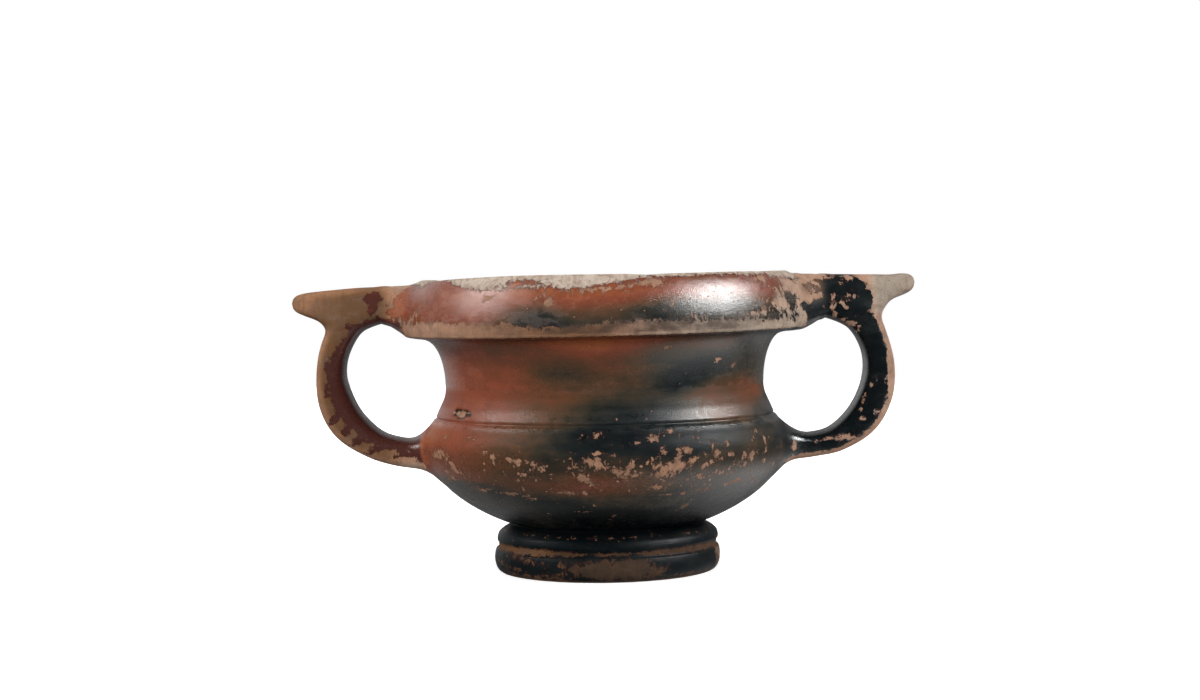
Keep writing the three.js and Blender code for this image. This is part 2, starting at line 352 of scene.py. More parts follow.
class Spur:
    """The thumb rest, of upright sections from inside the loop's crown out to a rounded tip."""

    def __init__(self, stations, side):
        samples = resampled(stations, SPUR_STEPS)
        samples = samples[np.argsort(samples[:, 0])]
        tip = samples[-1, 0]
        self.out = samples[:, 0]
        closing = np.sqrt(np.clip(1 - ((self.out - tip + 1.5) / 1.52).clip(0) ** 2, 0.01, 1))
        self.middle = (samples[:, 1] + samples[:, 2]) / 2
        self.thick = (samples[:, 2] - samples[:, 1]) / 2 * closing
        self.wide = samples[:, 3] / 2 * closing
        self.side = side

    def mesh(self):
        wide, thick = section_corners(SECTION_SIDES)
        rings = []
        for out, middle, half_thick, half_wide in zip(self.out, self.middle, self.thick, self.wide):
            x = np.full(SECTION_SIDES, self.side * out)
            rings.append(np.stack([x, wide * half_wide, middle + thick * half_thick], 1))
        return loft(rings)

    def distance(self, points):
        out = points[:, 0] * self.side
        middle = np.interp(out, self.out, self.middle)
        thick = np.interp(out, self.out, self.thick)
        wide = np.interp(out, self.out, self.wide)
        past = np.maximum(out - self.out[-1], self.out[0] - out).clip(0)
        gap = section_distance(np.abs(points[:, 2] - middle), points[:, 1], thick, wide)
        return np.where(past > 0, np.hypot(gap.clip(0), past), gap)


def section_distance(across, along_width, thick, wide):
    """How far a point is outside the rounded section, measured along the line from its middle."""
    from_middle = np.hypot(across, along_width) + 1e-9
    power = SECTION_POWER
    share = ((across / thick) ** power + (np.abs(along_width) / wide) ** power) ** (1 / power) + 1e-9
    return from_middle * (1 - 1 / share)


def loft(rings):
    """Points and faces of a skin over rings of the same count, closed at both ends."""
    sides = len(rings[0])
    faces = ring_faces(len(rings), sides)
    faces.append(tuple(range(sides))[::-1])
    faces.append(tuple(range((len(rings) - 1) * sides, len(rings) * sides)))
    return np.vstack(rings), faces


def new_object(name, points, faces):
    mesh = bpy.data.meshes.new(name)
    mesh.from_pydata((np.asarray(points) * MM).tolist(), [], faces)
    mesh.update()
    piece = bpy.data.objects.new(name, mesh)
    bpy.context.scene.collection.objects.link(piece)
    return piece


def outward(piece):
    """Turns all faces to point out."""
    work = bmesh.new()
    work.from_mesh(piece.data)
    bmesh.ops.recalc_face_normals(work, faces=work.faces)
    work.to_mesh(piece.data)
    work.free()


def joined(body, parts):
    """The body with the parts joined to it as one closed skin of triangles and quads."""
    for part in parts:
        union = body.modifiers.new("join", "BOOLEAN")
        union.operation = "UNION"
        union.solver = "MANIFOLD"
        union.object = part
    bpy.context.view_layer.update()
    evaluated = body.evaluated_get(bpy.context.evaluated_depsgraph_get())
    mesh = bpy.data.meshes.new_from_object(evaluated)
    mesh.materials.clear()
    body.modifiers.clear()
    old = body.data
    body.data = mesh
    bpy.data.meshes.remove(old)
    for part in parts:
        bpy.data.objects.remove(part)
    work = bmesh.new()
    work.from_mesh(body.data)
    bmesh.ops.remove_doubles(work, verts=work.verts, dist=0.02 * MM)
    many_sided = [face for face in work.faces if len(face.verts) > 4]
    bmesh.ops.triangulate(work, faces=many_sided)
    work.to_mesh(body.data)
    work.free()
    return body


def body_distance(points):
    """How far each point is outside the bowl, and which place along its outline is nearest."""
    level = points[:, 2] - tilt(points[:, 0], points[:, 2])
    flat = np.stack([np.hypot(points[:, 0], points[:, 1]), level], 1)
    outline = OUTLINE[NEAR_HANDLES]
    step = np.diff(outline, axis=0)
    gap = np.empty(len(points))
    place = np.empty(len(points))
    chunk = 4000
    for first in range(0, len(points), chunk):
        part = slice(first, first + chunk)
        nearest, share, away, _ = nearest_on(outline, flat[part])
        along = step[nearest]
        outside = np.sign(along[:, 1] * away[:, 0] - along[:, 0] * away[:, 1])
        gap[part] = outside * np.hypot(*away.T)
        place[part] = nearest + share
    return gap, place + NEAR_HANDLES.start


def blended(a, b, reach):
    """The nearer of two distances, eased where they are alike."""
    near = np.maximum(reach - np.abs(a - b), 0) / reach
    return np.minimum(a, b) - near**2 * reach / 4


class Form:
    """The whole cup as a field of distances, with its joins eased."""

    def __init__(self):
        self.loops = [Loop(RIGHT_LOOP, 1), Loop(LEFT_LOOP, -1)]
        self.spurs = [Spur(RIGHT_SPUR, 1), Spur(LEFT_SPUR, -1)]

    def handles(self, points):
        gap = np.empty(len(points))
        reach = SPUR_EASE + (SPUR_TOP_EASE - SPUR_EASE) * ease(points[:, 2], 58, 64)
        for side, loop, spur in zip((1, -1), self.loops, self.spurs):
            here = points[:, 0] * side >= 0
            gap[here] = blended(loop.distance(points[here]), spur.distance(points[here]), reach[here])
        return gap

    def __call__(self, points):
        reach = read_off(points[:, 2], JOIN_EASE)
        return blended(body_distance(points)[0], self.handles(points), reach)


def gradient(field, points, step=0.04):
    """The direction in which a field of distances grows, by small differences."""
    here = field(points)
    return np.stack([(field(points + shift) - here) / step for shift in np.eye(3) * step], 1)


def ease_joins(points, edges, form):
    """Moves the points near the joins on to the eased form and evens their spacing."""
    handle_gap = form.handles(points)
    near = np.flatnonzero(np.abs(handle_gap) < JOIN_REACH + 3)
    body_gap, place = body_distance(points[near])
    outer = (place > len(FOOT) + 1) & (place < LIP_PLACE)
    close = np.abs(body_gap - handle_gap[near]) < JOIN_REACH
    handle_only = (np.abs(points[near, 0]) > 47) & (handle_gap[near] < 3)
    picked = near[(outer & close) | handle_only]
    moving = np.zeros(len(points), bool)
    moving[picked] = True
    used = edges[moving[edges].any(1)]
    both = np.vstack([used, used[:, ::-1]])
    both = both[moving[both[:, 0]]]
    count = np.bincount(both[:, 0], minlength=len(points)).clip(1)
    for turn in range(5):
        # The fourth time the directions of the third are near enough.
        if turn != 3:
            normal = gradient(form, points[picked])
            normal /= np.linalg.norm(normal, axis=1)[:, None]
        total = np.stack([np.bincount(both[:, 0], points[both[:, 1], k], len(points)) for k in range(3)], 1)
        drift = (total / count[:, None])[picked] - points[picked]
        drift -= (drift * normal).sum(1)[:, None] * normal
        seam = ease(np.abs(form.handles(points[picked]) - body_distance(points[picked])[0]), 3.0, 0.5)
        points[picked] += drift * (0.6 * seam[:, None])
        gap = form(points[picked])
        points[picked] -= normal * gap[:, None]
    return points


def azimuth(points):
    """Degrees round the cup from the front."""
    return np.degrees(np.arctan2(points[:, 0], -points[:, 1]))


# Along the outside: the height of each place, how far along the outline it is, and its radius.
SIDE = np.vstack([FOOT[np.flatnonzero(FOOT[:, 1] == 0)[-1] :], BOWL])
SIDE_HEIGHT = np.maximum.accumulate(SIDE[:, 1])
SIDE_RADIUS = SIDE[:, 0]
SIDE_LENGTH = np.concatenate([[0], np.cumsum(np.hypot(np.diff(SIDE_RADIUS), np.diff(SIDE_HEIGHT)))])


def patch(degrees, height, radius, place):
    """Millimetres inside the edge of an ellipse laid on the cup's side; below zero is outside it.

    The place is (degrees, height, half width, half height), and the ellipse's own turn if it isn't level.
    """
    middle, level, *shape = place
    across = np.radians((degrees - middle + 180) % 360 - 180) * radius
    up = np.interp(height, SIDE_HEIGHT, SIDE_LENGTH) - np.interp(level, SIDE_HEIGHT, SIDE_LENGTH)
    return ellipse(across, up, *shape)


def ellipse(across, up, half_wide, half_tall, turn=0):
    """Millimetres inside the edge of an ellipse about the origin."""
    c, s = math.cos(math.radians(turn)), math.sin(math.radians(turn))
    share = np.hypot((c * across + s * up) / half_wide, (c * up - s * across) / half_tall)
    return (1 - share) * min(half_wide, half_tall)


# The chip out of the shoulder at the left, as three overlapping places, and how deep it is.
CHIP = [(-57.6, 37.7, 2.2, 1.0, -8), (-61.2, 37.9, 0.8, 0.8, 20), (-53.6, 38.0, 1.6, 0.45, -14)]
CHIP_DEPTH = 1.0


def chipped(degrees, height, radius):
    """Millimetres inside the edge of the chip."""
    return np.max([patch(degrees, height, radius, place) for place in CHIP], axis=0)


# The middle of the cup sits this far to the right of its foot and its rim.
LEAN = 0.15

# Worn places in the crest of the lip: where, how wide in degrees, and how deep. Below zero is a rise.
LIP_DIPS = [
    (-71, 12, 0.5),
    (-28, 20, -0.5),
    (13, 4, 0.2),
    (64, 9, 0.2),
    (-118, 8, 0.35),
    (150, 12, 0.3),
]


def hand_made(points):
    """Small departures from true: a wavering wall, a lip worn down in places, and the shoulder's chip."""
    degrees = azimuth(points)
    turn = np.radians(degrees)
    radius = np.hypot(points[:, 0], points[:, 1])
    height = points[:, 2].copy()
    on_body = ease(radius, 50, 46)
    waver = 0.12 * np.sin(2 * turn + 0.7) + 0.06 * np.sin(5 * turn + height * 0.09) - 0.1
    chip = chipped(degrees, height, radius)
    waver = waver * ease(height, WAIST_Z, BELLY_Z) - CHIP_DEPTH * ease(chip, -0.1, 0.35)
    swell = 1 + on_body * waver / np.maximum(radius, 12)
    points[:, 0] *= swell
    points[:, 1] *= swell
    lean = LEAN * ease(height, 3, 9) * ease(height, 36, 26) * on_body
    points[:, 0] += lean
    level = 0.1 * np.sin(3 * turn + 1.1) + 0.07 * np.sin(7 * turn + 2.0) - 0.1
    for place, width, depth in LIP_DIPS:
        away = (degrees - place + 180) % 360 - 180
        level -= depth * np.exp(-((away / width) ** 2))
    points[:, 2] += ease(height, RIM_Z + 5, LIP_Z) * on_body * level
    return points


def cup():
    """The whole cup as one mesh, and the distances that its wear is placed by."""
    form = Form()
    body = new_object("kantharos_cup", *turned_mesh())
    parts = []
    for side, loop, spur in (("right", form.loops[0], form.spurs[0]), ("left", form.loops[1], form.spurs[1])):
        parts.append(new_object(f"{side}_loop", *loop.mesh()))
        parts.append(new_object(f"{side}_spur", *spur.mesh()))
    for piece in (body, *parts):
        outward(piece)
    piece = joined(body, parts)
    mesh = piece.data
    points = np.empty(len(mesh.vertices) * 3)
    mesh.vertices.foreach_get("co", points)
    points = points.reshape(-1, 3) / MM
    edges = np.empty(len(mesh.edges) * 2, int)
    mesh.edges.foreach_get("vertices", edges)
    points = ease_joins(points, edges.reshape(-1, 2), form)
    points = hand_made(points)
    mesh.vertices.foreach_set("co", (points * MM).ravel())
    mesh.update()
    mesh.shade_smooth()
    return piece, points, form


# The camera stands as the photograph's did, this far from the cup's axis and this high.
CAMERA_DISTANCE = 490
CAMERA_HEIGHT = 66.7
CAMERA_ASIDE = -0.95
CAMERA_PITCH = 1.87
CAMERA_ROLL = -0.95
FOCAL_LENGTH = 63.5
SENSOR_WIDTH = 36


def place_camera():
    camera = bpy.data.objects.new("camera", bpy.data.cameras.new("camera"))
    bpy.context.scene.collection.objects.link(camera)
    camera.data.lens = FOCAL_LENGTH
    camera.data.sensor_width = SENSOR_WIDTH
    camera.data.clip_start = 0.01
    place = Matrix.Translation((CAMERA_ASIDE * MM, -CAMERA_DISTANCE * MM, CAMERA_HEIGHT * MM))
    aim = Matrix.Rotation(math.radians(90 - CAMERA_PITCH), 4, "X")
    camera.matrix_world = place @ aim @ Matrix.Rotation(math.radians(CAMERA_ROLL), 4, "Z")
    bpy.context.scene.camera = camera


def soft_light(name, turn, rise, distance, size, power, colour=(1, 1, 1)):
    """A soft light that faces the cup's middle. Turn is degrees from the front, and rise is above level."""
    light = bpy.data.lights.new(name, "AREA")
    light.shape = "RECTANGLE"
    light.size, light.size_y = size
    light.energy = power
    light.color = colour
    lamp = bpy.data.objects.new(name, light)
    bpy.context.scene.collection.objects.link(lamp)
    a, e = math.radians(turn), math.radians(rise)
    lamp.location = (
        distance * math.sin(a) * math.cos(e),
        -distance * math.cos(a) * math.cos(e),
        distance * math.sin(e) + 0.045,
    )
    lamp.rotation_euler = (math.pi / 2 - e, 0, a)
    return lamp


def place_lights():
    """Two windows that only the gloss mirrors, and light from the sides, front and above for all the rest."""
    for mirrored in (
        soft_light("right_window", 73, 28, 0.8, (0.42, 0.19), 14.5),
        soft_light("left_window", -79, 30, 0.9, (0.34, 0.2), 5.2, (1, 0.95, 0.92)),
    ):
        mirrored.visible_diffuse = False
    for spread in (
        soft_light("right_side", 73, 28, 0.8, (0.42, 0.19), 4.6),
        soft_light("left_side", -79, 30, 0.9, (0.34, 0.2), 4.6),
        soft_light("overhead", 0, 90, 1.5, (2.0, 2.0), 9),
        soft_light("front", -8, 8, 1.6, (1.4, 0.9), 20),
    ):
        spread.visible_glossy = False


class Nodes:
    """Short ways to add nodes to the tree of a material or of the world."""

    def __init__(self, owner):
        owner.use_nodes = True
        self.tree = owner.node_tree

    def node(self, kind, inputs, **settings):
        """A node with its settings, and its inputs linked to outputs or set to values."""
        node = self.tree.nodes.new(kind)
        for name, value in settings.items():
            setattr(node, name, value)
        for name, value in inputs.items():
            self.put(node.inputs[name], value)
        return node

    def put(self, socket, value):
        if isinstance(value, bpy.types.NodeSocket):
            self.tree.links.new(value, socket)
        else:
            socket.default_value = value

    def field(self, name):
        return self.node("ShaderNodeAttribute", {}, attribute_name=name).outputs["Fac"]

    def math(self, operation, a, b=0.0, c=0.0):
        return self.node("ShaderNodeMath", {0: a, 1: b, 2: c}, operation=operation).outputs[0]

    def shifted(self, value, by):
        return self.math("ADD", value, by)

    def scaled(self, value, by, start=0.0):
        """The value times a factor, from a start."""
        return self.math("MULTIPLY_ADD", value, by, start)

    def larger(self, a, b):
        return self.math("MAXIMUM", a, b)

    def between(self, value, low, high, start=0.0, end=1.0):
        """From start to end, smoothly, as the value goes from low to high."""
        inputs = {"Value": value, "From Min": low, "From Max": high, "To Min": start, "To Max": end}
        return self.node("ShaderNodeMapRange", inputs, interpolation_type="SMOOTHSTEP").outputs[0]

    def noise(self, vector, scale, detail=2.0, roughness=0.5, distortion=0.0):
        inputs = {
            "Vector": vector,
            "Scale": scale,
            "Detail": detail,
            "Roughness": roughness,
            "Distortion": distortion,
        }
        return self.node("ShaderNodeTexNoise", inputs).outputs["Fac"]

    def stretched(self, vector, scale):
        inputs = {0: vector, 1: scale}
        return self.node("ShaderNodeVectorMath", inputs, operation="MULTIPLY").outputs[0]

    def blend(self, share, a, b):
        """One colour laid over another. Each is an output or (red, green, blue)."""
        node = self.node("ShaderNodeMix", {0: share}, data_type="RGBA")
        for index, value in ((6, a), (7, b)):
            self.put(node.inputs[index], (*value, 1) if isinstance(value, tuple) else value)
        return node.outputs[2]

    def ramp(self, value, stops):
        """Colours along a value from 0 to 1."""
        node = self.node("ShaderNodeValToRGB", {0: value})
        elements = node.color_ramp.elements
        while len(elements) < len(stops):
            elements.new(0.5)
        for element, (place, colour) in zip(elements, stops):
            element.position = place
            element.color = (*colour, 1)
        return node.outputs["Color"]


def surroundings():
    """White for the camera, and lit softly from behind for the cup, more on its left."""
    world = bpy.data.worlds.new("surroundings")
    bpy.context.scene.world = world
    make = Nodes(world)
    make.tree.nodes.clear()
    direction = make.node("ShaderNodeTexCoord", {}).outputs["Generated"]
    split = make.node("ShaderNodeSeparateXYZ", {0: direction})
    glow = make.between(split.outputs["Y"], 0.3, 0.95, 0.07, 0.9)
    glow = make.scaled(glow, make.between(split.outputs["X"], -0.6, 0.1, 1.0, 0.32))
    glow = make.scaled(glow, make.between(split.outputs["Z"], -0.3, 0.1, 0.25, 1.0))
    below = make.between(split.outputs["Z"], -0.1, -0.6, 0.0, 1.0)
    right = make.between(split.outputs["X"], 0.2, 0.7, 0.15, 1.5)
    glow = make.scaled(below, right, glow)
    seen = make.node("ShaderNodeLightPath", {}).outputs["Is Camera Ray"]
    strength = make.larger(glow, seen)
    white = make.node("ShaderNodeBackground", {"Color": (1, 1, 1, 1), "Strength": strength})
    make.node("ShaderNodeOutputWorld", {"Surface": white.outputs[0]})


def lay_floor():
    """White paper, lit up so that it has no horizon and throws no light back on the cup."""
    size = 900
    corners = [(-size, -size, -0.05), (size, -size, -0.05), (size, size, -0.05), (-size, size, -0.05)]
    floor = new_object("floor", corners, [(0, 1, 2, 3)])
    paper = bpy.data.materials.new("white_paper")
    make = Nodes(paper)
    shader = make.tree.nodes["Principled BSDF"]
    place = make.node("ShaderNodeTexCoord", {}).outputs["Object"]
    away = make.node("ShaderNodeVectorMath", {0: place}, operation="LENGTH").outputs["Value"]
    make.put(shader.inputs["Base Color"], (0.9, 0.9, 0.9, 1))
    make.put(shader.inputs["Roughness"], 0.9)
    make.put(shader.inputs["Emission Color"], (1, 1, 1, 1))
    make.put(shader.inputs["Emission Strength"], make.between(away, 0.05, 0.3, 0.6, 1.0))
    floor.data.materials.append(paper)
    floor.visible_glossy = False
    floor.visible_diffuse = False


# How the gloss fired, from black through olive and brown to red and orange, and last a dark purple red.
BLACK, SOOT, OLIVE, BROWN, RUST, RED, ORANGE, MAROON = 0.0, 0.12, 0.3, 0.5, 0.66, 0.82, 1.0, 1.3

# Where the gloss has which tone: degrees, height, tone, and how strongly a milky haze lies on it. The haze is
# partly a rougher gloss and partly a painted pale sheen that stands in for highlights and reflections.
TONES = [
    # the rim
    (-58, 62, RED, 0.2), (-44, 60.5, RED, 0.35), (-34, 61, RED, 0.25), (-38, 64, RED, 0.1),
    (-25, 64, ORANGE, 0.1), (-20, 60, SOOT, 0.2), (-10, 63.5, ORANGE, 0), (-2, 62, RED, 0),
    (6, 64, ORANGE, 0), (0, 59.5, OLIVE, 0.05), (14, 60, SOOT, 0), (18, 64.5, RED, 0),
    (26, 59.5, OLIVE, 0), (30, 65.5, RUST, 0), (40, 60, OLIVE, 0.1), (46, 65, RED, 0.1),
    (56, 64, RED, 0.1), (66, 61, SOOT, 0), (80, 61, BLACK, 0), (90, 64, BLACK, 0),
    # the neck
    (-68, 48, RED, 0.2), (-55, 51, RED, 0.1), (-53, 45, RED, 0.05), (-44, 42, RED, 0),
    (-36, 51, RUST, 0), (-34, 46, RED, 0), (-25, 43, RUST, 0), (-20, 51, RUST, 0), (-14, 47, OLIVE, 0),
    (-24, 54, RUST, 0), (-8, 53.5, ORANGE, 0), (4, 53.5, ORANGE, 0), (17, 54, RUST, 0),
    (2, 49, RUST, 0), (5, 44, BROWN, 0), (12, 41, OLIVE, 0), (14, 47, BROWN, 0), (26, 45, BLACK, 0),
    (22, 50, OLIVE, 0), (34, 47, BLACK, 0), (28, 53, BROWN, 0), (36, 41, BROWN, 0), (44, 43, BROWN, 0),
    (49, 41, RUST, 0), (58, 42, RUST, 0.05), (56, 48, OLIVE, 0.03), (72, 46, OLIVE, 0.08),
    # the shoulder, above its groove
    (-64, 38, RED, 0.1), (-46, 38, RED, 0.2), (-34, 37.5, RUST, 0.25), (-22, 37.5, BROWN, 0),
    (-12, 38, BROWN, 0), (-3, 37.5, SOOT, 0), (8, 37.5, BLACK, 0), (20, 37.5, SOOT, 0),
    (36, 38, BROWN, 0), (52, 38, BROWN, 0), (70, 37, SOOT, 0.2),
    # below the groove
    (-64, 33, ORANGE, 0), (-52, 33, RED, 0.05), (-40, 33.5, RUST, 0.1), (-28, 33, BROWN, 0.03),
    (-16, 33, OLIVE, 0), (-6, 33, BLACK, 0), (8, 32.5, BLACK, 0), (22, 32.5, BLACK, 0),
    (34, 33, SOOT, 0), (42, 30, OLIVE, 0), (56, 31, OLIVE, 0.03), (72, 30, SOOT, 0.08),
    # the belly and below it
    (-64, 27, RED, 0.1), (-50, 27, RUST, 0.05), (-34, 27, BROWN, 0), (-18, 27, OLIVE, 0),
    (-20, 23, BROWN, 0), (-9, 22.6, RED, 0.1), (0, 22.8, RUST, 0.1), (4, 28, OLIVE, 0),
    (10, 23, BROWN, 0.1), (30, 25, OLIVE, 0.08), (45, 26, OLIVE, 0.08), (62, 26, OLIVE, 0.08),
    (-60, 20, OLIVE, 0.2), (-40, 19, OLIVE, 0.1), (-18, 19, SOOT, 0), (4, 19.5, OLIVE, 0.05),
    (30, 20, OLIVE, 0.1), (50, 20, SOOT, 0.2), (-40, 15, SOOT, 0.05), (0, 15.5, BLACK, 0),
    (40, 15.5, BLACK, 0),
    # the foot
    (-60, 9, BLACK, 0), (0, 9, BLACK, 0), (60, 9, BLACK, 0), (-60, 3, BLACK, 0), (0, 3, SOOT, 0),
    (60, 3, BLACK, 0),
    # the back
    (115, 62, SOOT, 0), (135, 61, RUST, 0), (160, 63, RED, 0.2), (-160, 61, BROWN, 0.1),
    (-130, 62, RED, 0.3), (-100, 62, RED, 0.2), (110, 46, SOOT, 0.1), (140, 48, OLIVE, 0),
    (170, 43, RUST, 0), (-160, 50, BROWN, 0), (-130, 44, RED, 0), (-105, 48, RED, 0.1),
    (120, 37, OLIVE, 0.1), (165, 38, BROWN, 0.2), (-140, 38, RED, 0.3), (120, 32, BLACK, 0),
    (150, 30, SOOT, 0), (180, 33, OLIVE, 0), (-150, 31, RUST, 0.1), (-115, 30, RED, 0),
    (130, 24, OLIVE, 0), (170, 24, BROWN, 0), (-140, 24, OLIVE, 0), (120, 16, BLACK, 0),
    (180, 16, SOOT, 0), (-120, 16, OLIVE, 0), (120, 6, BLACK, 0), (180, 6, SOOT, 0),
    (-120, 6, BLACK, 0),
]
TONE_REACH = (7.5, 2.6)  # how far one tone spreads, across and up

# Bare clay on the cup's side, as places for patch().
BARE = [
    # the rim's left end
    (-76, 57, 5.5, 1.7), (-70.5, 59.4, 4.6, 0.6, 21), (-62, 57.9, 1.2, 0.5), (-72, 66.9, 3.6, 0.7),
    (-56, 58.3, 1.5, 0.6), (-80, 62.8, 3, 1.2),
    # the rim's right end
    (73, 62.4, 16.5, 6), (53, 66.6, 4, 0.9), (48.5, 62, 1, 0.8, 30), (50, 59.2, 1.2, 0.7),
    # flakes off the rim
    (13.8, 66.2, 2.7, 1.1, 4), (-2.5, 64.9, 6.4, 0.55, 2), (-18.6, 63.3, 0.8, 0.7),
    (-15, 62.3, 1, 0.75, 20), (18.6, 61.8, 0.45, 1.3, 10), (-33, 63.6, 1, 0.5), (44, 58.4, 2.4, 0.5, 8),
    (25, 58.6, 2, 0.4),
    # the neck
    (20, 52, 1.1, 0.3, 25), (49, 47.6, 0.5, 0.45), (60, 41.5, 0.25, 0.6), (41, 49, 0.8, 0.25, 20),
    # the shoulder
    (14.3, 32.9, 1.15, 0.9, -10), (9.6, 32.3, 0.7, 0.3, 30), (7.6, 31.7, 0.25, 0.25),
    (16.9, 30.2, 0.7, 0.8), (19.6, 34.3, 0.9, 0.35, -8), (-3, 33.8, 1, 0.4, 28),
    (-8.2, 32.9, 0.35, 0.2, 20), (28.6, 33, 0.3, 0.8, 15), (1.5, 31.9, 0.35, 0.2), (33, 30.8, 0.4, 0.6),
    (39, 30.6, 0.3, 0.5, 10), (57, 31, 0.35, 0.9, 8), (-61, 32.3, 1.1, 0.4, 30), (-47, 32.8, 0.7, 0.4),
    (52.5, 32.6, 1.5, 0.4, 50),
    # the belly
    (20.3, 26.9, 3.32, 1.01, 4), (22, 28.7, 0.55, 1.47, -15), (17.5, 25.1, 2.22, 0.77, -8),
    (14.8, 26.9, 1.34, 0.47, 8), (25.2, 27.4, 1.27, 0.54, 15), (7.2, 27.5, 0.95, 1.16, -25),
    (-2.6, 27.7, 2.37, 1.08, -16), (3.2, 26, 2.13, 0.77, -28), (8.6, 25.3, 1.74, 0.35, 6),
    (-9.6, 26.6, 0.55, 1.85, 14), (-6.8, 24.5, 2.22, 0.77, -34), (-1.2, 30, 1.34, 0.31, -4),
    (-29.4, 28.4, 1.27, 0.42, -20), (-25.4, 28.2, 2.06, 0.62, -8), (-20.6, 27.2, 1.9, 0.62, -28),
    (-26, 25.2, 1.34, 0.31, 35), (-33, 25.5, 1.03, 0.39, -35), (-38, 30.4, 1.03, 0.23, 35),
    (-40, 30.4, 0.71, 0.23, -50), (-36, 28, 0.4, 1.31, 15), (-11, 21.4, 3.4, 0.75, -2),
    (-5.5, 22.6, 1.27, 0.39, 20), (-34.5, 20.9, 2.53, 0.31), (-27, 20.1, 1.34, 0.39, -12),
    (-45, 21.2, 1.27, 0.39), (-64.5, 28.6, 3.6, 1.3, 8), (-57.5, 26.8, 3.3, 1.15, -34),
    (-61, 24.3, 2.2, 0.6, -40), (-52, 25.2, 1.2, 0.4, -30), (50, 27.8, 1.82, 1.01, 26),
    (44.5, 27.4, 1.5, 0.47, 25), (37, 28, 2.06, 0.39, 14), (35, 29.6, 1.19, 0.69, 35),
    (31, 26.6, 1.5, 0.39, 24), (27.2, 28.2, 0.79, 1.08), (24.6, 30.4, 0.63, 0.69),
    (30, 24.2, 1.27, 0.47), (39.5, 24.8, 2.06, 0.35, 8), (44, 22.2, 2.22, 0.39, 14),
    (33.5, 21.2, 2.85, 0.31, 6), (52, 22, 0.79, 0.31, 30), (21, 20.5, 4.5, 0.14, 2),
    (57, 28.4, 0.71, 0.54), (16.5, 22.4, 1.1, 0.62, -20),
    # under the belly
    (2.2, 15.4, 0.25, 1.3, -18), (-5, 18.4, 1.2, 0.25), (30, 17.6, 0.5, 1.3, -30),
    (-12, 16.9, 2, 0.22, -3),
    # the foot
    (5, 2.9, 9, 2.4), (-16, 3.2, 3.4, 1.3, -14), (24, 2.2, 2.2, 1, 10), (80, 4.4, 4.2, 4.2),
    (-46, 4.6, 4, 0.45, -5), (-66, 2.8, 2, 0.4, -10), (-45, 1, 7, 0.28), (-30, 1.7, 4, 0.26, 4),
    (-52, 2.2, 3, 0.24, -4), (45, 1, 5, 0.22),
    # the back
    (150, 26, 5, 1.4, 12), (168, 28, 3, 1, -20), (-165, 25, 4, 1.2, 8), (-145, 28, 2.4, 1, 30),
    (-120, 26, 3.6, 1.1, -25), (120, 28, 3, 1, 18), (140, 30, 1.5, 1), (178, 21.5, 5, 0.5, 2),
    (130, 65, 6, 1.6, 5), (-150, 66, 8, 0.9), (172, 60, 3, 1.2, 15), (108, 60, 3, 2, -30),
    (-112, 59, 4, 1, 10), (160, 3, 6, 2.2), (-130, 2.5, 5, 1.6), (-172, 37.5, 1.6, 0.8, 20),
]

# Gloss that is still there within the bare places.
KEPT = [
    (59, 65.4, 4.4, 1.45, -5), (53, 63, 4.6, 1.5), (66.5, 62.3, 5.2, 1.1, -6), (68, 60.3, 2.8, 1.5, 10),
    (55, 58.7, 2.4, 1.2, -20), (61.5, 58.6, 1.9, 0.9, -25), (68.5, 57.5, 2.8, 0.8),
    (80, 59.6, 2.6, 1.1, -20), (53, 60.8, 1.6, 0.9, 20), (75.5, 60.1, 0.9, 0.6), (14.4, 33, 0.3, 0.3),
    (-60.5, 27.3, 2, 0.35, -30), (20, 25, 0.5, 0.3), (4, 5.15, 14, 0.3), (78, 65.6, 1.6, 0.5),
    (-24, 66.6, 3.4, 0.8, 4),
]

# Bare clay and kept gloss on the handles' fronts: out, up, half width, half height and any turn.
RIGHT_BARE = [
    (47, 67.4, 5, 0.9), (45.8, 63.9, 3.6, 3), (48.6, 62.6, 1.3, 0.8), (44.2, 57.8, 1.5, 2.4, 20),
    (52.4, 60.4, 0.55, 0.95), (54.9, 60.5, 1.8, 0.45, -45), (53, 62.1, 0.9, 0.25, -35),
    (52.9, 58.8, 0.3, 0.8), (56.4, 62.2, 0.9, 0.3, 10), (59.2, 62.7, 1.4, 0.2, 30),
    (54.8, 57.1, 0.6, 0.4, 30), (56.7, 56, 1, 0.55, -10), (58.6, 55.2, 0.35, 0.4),
    (58.3, 54.4, 0.4, 0.35), (56.1, 66.6, 1.3, 0.6), (59.8, 66.8, 0.8, 0.4, 10), (50.6, 66.6, 1.7, 0.4),
    (54.3, 65, 0.5, 0.3), (60.4, 58.9, 0.3, 0.3), (62.5, 43, 0.4, 0.4, 20), (60.9, 41.9, 0.35, 0.35),
    (59.4, 39, 0.4, 0.9, -22), (58.6, 36.4, 0.25, 0.25), (59, 34.2, 0.6, 0.5),
    (55, 30.3, 1.4, 0.35, 18), (56.3, 29.6, 0.4, 0.8, 10), (51.4, 29.8, 1.8, 0.25, 12),
    (62.2, 35.8, 0.6, 0.6), (40.5, 28.3, 3.6, 1.4, 6),
]
RIGHT_KEPT = [(47.2, 64.7, 2.0, 0.75, -6), (45.3, 59.9, 1.2, 1.3, -30)]
